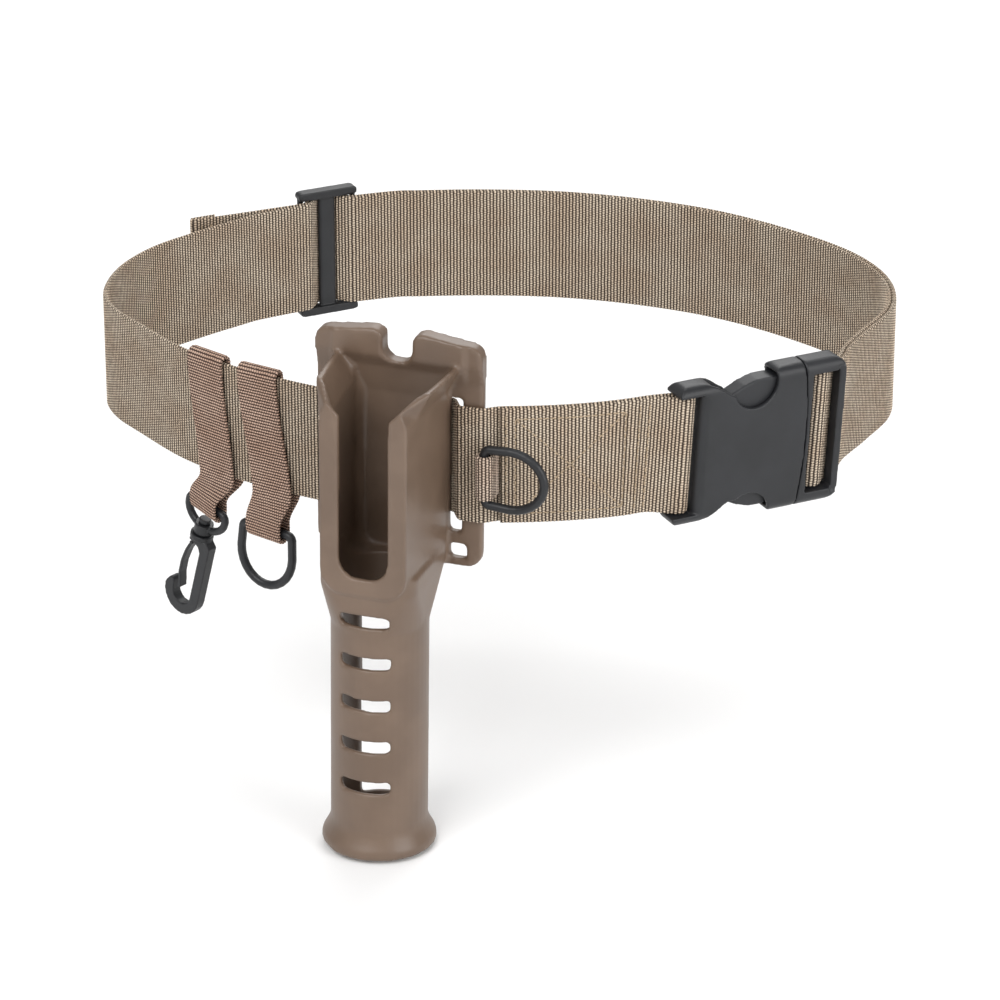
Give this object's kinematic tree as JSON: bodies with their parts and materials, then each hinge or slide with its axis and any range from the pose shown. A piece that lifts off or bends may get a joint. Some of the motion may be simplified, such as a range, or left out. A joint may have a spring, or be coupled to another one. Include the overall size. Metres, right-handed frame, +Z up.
{
  "type": "fishing fighting belt",
  "caption": "Buckled webbing waist belt with a moulded rod-holder cup and slotted tube at the front, slide adjuster, D-rings and a hanging swivel snap hook.",
  "frame": {"origin": "the centre of the belt's loop, at the middle of the webbing's height", "axes": "+Z up along the wearer's body, the rod holder faces -Y, +X is to the right as seen from the front"},
  "size_m": [0.3338, 0.2812, 0.2176],
  "materials": {
    "webbing": "coarse ribbed tan webbing",
    "narrow_webbing": "narrow brown webbing with a bolder weave",
    "brown_plastic": "satin moulded brown plastic",
    "black_plastic": "satin black moulded plastic"
  },
  "bodies": {
    "belt": {"belt_webbing": "webbing", "rod_holder": "brown_plastic", "buckle_socket": "black_plastic", "buckle_plug": "black_plastic", "slide_adjuster": "black_plastic", "hook_hanger_loop": "narrow_webbing", "ring_hanger_loop": "narrow_webbing", "side_ring_tab": "narrow_webbing"},
    "side_ring": {"side_ring": "black_plastic"},
    "hanging_ring": {"hanging_ring": "black_plastic"},
    "swivel_eye": {"swivel_eye": "black_plastic"},
    "snap_hook": {"snap_hook": "black_plastic"},
    "hook_gate": {"hook_gate": "black_plastic"}
  },
  "joints": [
    {"name": "side_ring_hinge", "type": "hinge", "parent": "belt", "child": "side_ring", "pos_m": [-0.0062, -0.12825, -0.0025], "axis": [0, 0, 1], "range_deg": [-100, 20]},
    {"name": "hanging_ring_hinge", "type": "hinge", "parent": "belt", "child": "hanging_ring", "pos_m": [-0.09514, -0.08814, -0.0437], "axis": [0.8462, -0.5283, -0.0698], "range_deg": [-75, 75]},
    {"name": "swivel_eye_hinge", "type": "hinge", "parent": "belt", "child": "swivel_eye", "pos_m": [-0.12051, -0.06914, -0.0417], "axis": [0.7263, -0.6297, -0.2756], "range_deg": [-75, 75]},
    {"name": "hook_swivel", "type": "hinge", "parent": "swivel_eye", "child": "snap_hook", "pos_m": [-0.12051, -0.06914, -0.0417], "axis": [0.2083, -0.1806, 0.9613], "continuous": true},
    {"name": "gate_hinge", "type": "hinge", "parent": "snap_hook", "child": "hook_gate", "pos_m": [-0.12726, -0.06328, -0.06088], "axis": [0.6551, 0.7555, 0], "range_deg": [-12, 0], "stiffness_Nm_per_rad": 0.04, "springref_deg": 6.88}
  ]
}
